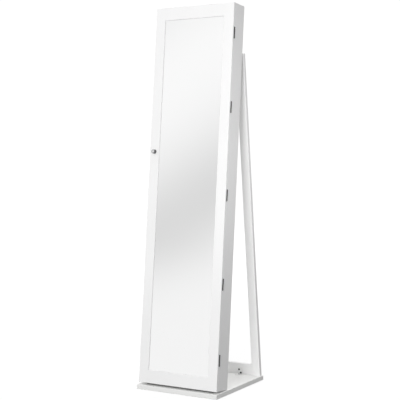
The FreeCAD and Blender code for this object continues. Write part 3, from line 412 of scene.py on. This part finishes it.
roll_radius = 0.0075
roll_back = 0.0060
roll_end = 0.0070
roll_rings = 150
roll_sides = 28
roll_gap = 0.0004
end_roundness = 2.4
least_section = 0.02
pleat_count = 7
pleat_depth = 0.10
pleat_fade = 1.5
lump_depth = 0.035
lumps_per_metre = 45
lump_round = 0.8
row_step = 7.3
lean_angle = math.radians(6.3)
up_slope = Vector((0.0, math.sin(lean_angle), math.cos(lean_angle)))
into_cabinet = Vector((0.0, math.cos(lean_angle), -math.sin(lean_angle)))

rolls_form = bmesh.new()
for row, (low, high) in enumerate(spans):
    middle = (low + high) / 2
    front = middle - into_cabinet * ((roll_radius - roll_back) / 2)
    rings = []
    for step in range(roll_rings + 1):
        share = step / roll_rings
        x = low.x + roll_gap + (high.x - low.x - 2 * roll_gap) * share
        from_end = min(x - low.x, high.x - x)
        tuck = min(1.0, from_end / roll_end)
        thick = math.sqrt(max(0.0, 1 - (1 - tuck) ** end_roundness))
        ring = []
        for side in range(roll_sides):
            angle = 2 * math.pi * side / roll_sides
            pleat = pleat_depth * (1 - tuck) ** pleat_fade * math.cos(pleat_count * angle + row)
            spot = (x * lumps_per_metre, math.cos(angle) * lump_round + row * row_step, math.sin(angle) * lump_round)
            lump = lump_depth * hills.noise(Vector(spot))
            reach = roll_radius * max(least_section, thick) * (1 + pleat * thick + lump)
            out = -math.cos(angle) * reach
            rise_here = math.sin(angle) * reach
            out = min(out, roll_back * (0.85 + 0.15 * thick))
            place = Vector((x, 0, 0)) + Vector((0, front.y, front.z)) + into_cabinet * out + up_slope * rise_here
            ring.append(rolls_form.verts.new(place))
        rings.append(ring)
    for near, far in zip(rings, rings[1:]):
        for side in range(roll_sides):
            after = (side + 1) % roll_sides
            rolls_form.faces.new((near[side], near[after], far[after], far[side]))
    rolls_form.faces.new(list(reversed(rings[0])))
    rolls_form.faces.new(rings[-1])
bmesh.ops.recalc_face_normals(rolls_form, faces=rolls_form.faces)
rolls_mesh = bpy.data.meshes.new("velvet_ring_rolls")
rolls_form.to_mesh(rolls_mesh)
rolls_form.free()
for face in rolls_mesh.polygons:
    face.use_smooth = True
velvet_rolls = bpy.data.objects.new("velvet_ring_rolls", rolls_mesh)
bpy.context.scene.collection.objects.link(velvet_rolls)
rolls_mesh.materials.append(velvet)
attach(velvet_rolls, "cabinet")
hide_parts("ring_rolls")

# ------------------------------------------------------------------ door frame
# Two stiles and two rails in one thickness, dowelled and lacquered together, so
# that their joints are hidden. The front edges are lightly rounded.
door_lacquer = lacquered("door_lacquer", (0.89, 0.89, 0.89), (0.915, 0.915, 0.915))
dress(door_lacquer, "door_stile_left", "door_stile_right", "door_rail_bottom", "door_rail_top")

# ------------------------------------------------------------------ mirror
# Silvered float glass, held in the frame's rebate by the thin board behind it.
# Wiped clean, with only the faintest haze left.
silvered, tree, shader = finish("silvered_glass", metallic=1.0)
haze = cloud(tree, 9.0, 3.0)
color_along(tree, shader, haze, (0.986, 0.987, 0.987), (0.991, 0.992, 0.992))
feed(tree, shader.inputs["Roughness"], spread(tree, haze, 0.006, 0.020))
dress(silvered, "mirror_glass")

# ------------------------------------------------------------------ hinges
# Five small steel butt hinges, blackened, let into the door's and the side's
# edges. Countersunk screws in the same finish hold each leaf.
dark_nickel, tree, shader = finish("dark_nickel", metallic=0.85)
rub = cloud(tree, 500.0, 4.0)
color_along(tree, shader, rub, (0.014, 0.014, 0.015), (0.036, 0.036, 0.038), 0.3, 0.72)
feed(tree, shader.inputs["Roughness"], spread(tree, rub, 0.32, 0.5))
relief(tree, shader, cloud(tree, 1500.0), 0.00003, 0.4)
dress(dark_nickel, "hinge_cabinet_leaves", "hinge_door_leaves", "hinge_pins")
dress(dark_nickel, "hinge_cabinet_screws", "hinge_door_screws")

# ------------------------------------------------------------------ cam lock
# Chrome housing, coloured dark as painted dark reflection, with a bright plug, clamped through the left stile by a nut.
# The key turns the plug and its cam, which then stands behind a zinc bracket.
# Dark base colour on this chrome is painted reflection of dark surroundings.
lock_chrome_dark_reflection, tree, shader = finish("chrome_painted_dark_reflection", metallic=1.0)
color_along(tree, shader, cloud(tree, 400.0), (0.13, 0.13, 0.135), (0.19, 0.19, 0.195))
feed(tree, shader.inputs["Roughness"], spread(tree, cloud(tree, 1500.0, 5.0), 0.12, 0.22))
relief(tree, shader, cloud(tree, 3000.0, 2.0), 0.00001, 0.3)
dress(lock_chrome_dark_reflection, "lock_barrel")

bright, tree, shader = finish("bright_chrome", metallic=1.0)
color_along(tree, shader, cloud(tree, 300.0), (0.86, 0.86, 0.87), (0.91, 0.91, 0.92))
feed(tree, shader.inputs["Roughness"], spread(tree, cloud(tree, 1800.0, 5.0), 0.10, 0.20))
relief(tree, shader, cloud(tree, 3000.0, 2.0), 0.00001, 0.3)
dress(bright, "lock_plug")
dress(zinc, "lock_nut", "lock_cam", "lock_cam_screw", "strike_bracket", "strike_screws")

# ------------------------------------------------------------------ catches
# White plastic housings with a ferrite magnet, which hold thin steel plates on
# the door. Clear pads on the side's edge soften its closing.
moulded, tree, shader = finish("white_moulding", Specular_IOR_Level=0.5)
color_along(tree, shader, cloud(tree, 25.0, 2.0), (0.825, 0.825, 0.82), (0.845, 0.845, 0.84))
feed(tree, shader.inputs["Roughness"], spread(tree, cloud(tree, 300.0), 0.28, 0.4))
relief(tree, shader, cloud(tree, 1600.0, 2.0), 0.00004, 0.4, soft_edge=0.0005)
dress(moulded, "catch_housings", "earring_posts", "door_tray")

ferrite, tree, shader = finish("ferrite", metallic=0.2)
color_along(tree, shader, cloud(tree, 900.0), (0.02, 0.02, 0.022), (0.05, 0.05, 0.052))
feed(tree, shader.inputs["Roughness"], spread(tree, cloud(tree, 400.0), 0.5, 0.7))
dress(ferrite, "catch_magnets")
dress(zinc, "catch_keepers", "earring_screws")

soft_pad, tree, shader = finish("soft_pad", Specular_IOR_Level=0.4)
color_along(tree, shader, cloud(tree, 300.0), (0.68, 0.68, 0.67), (0.76, 0.76, 0.75))
feed(tree, shader.inputs["Roughness"], spread(tree, cloud(tree, 500.0), 0.4, 0.55))
dress(soft_pad, "door_bumpers")
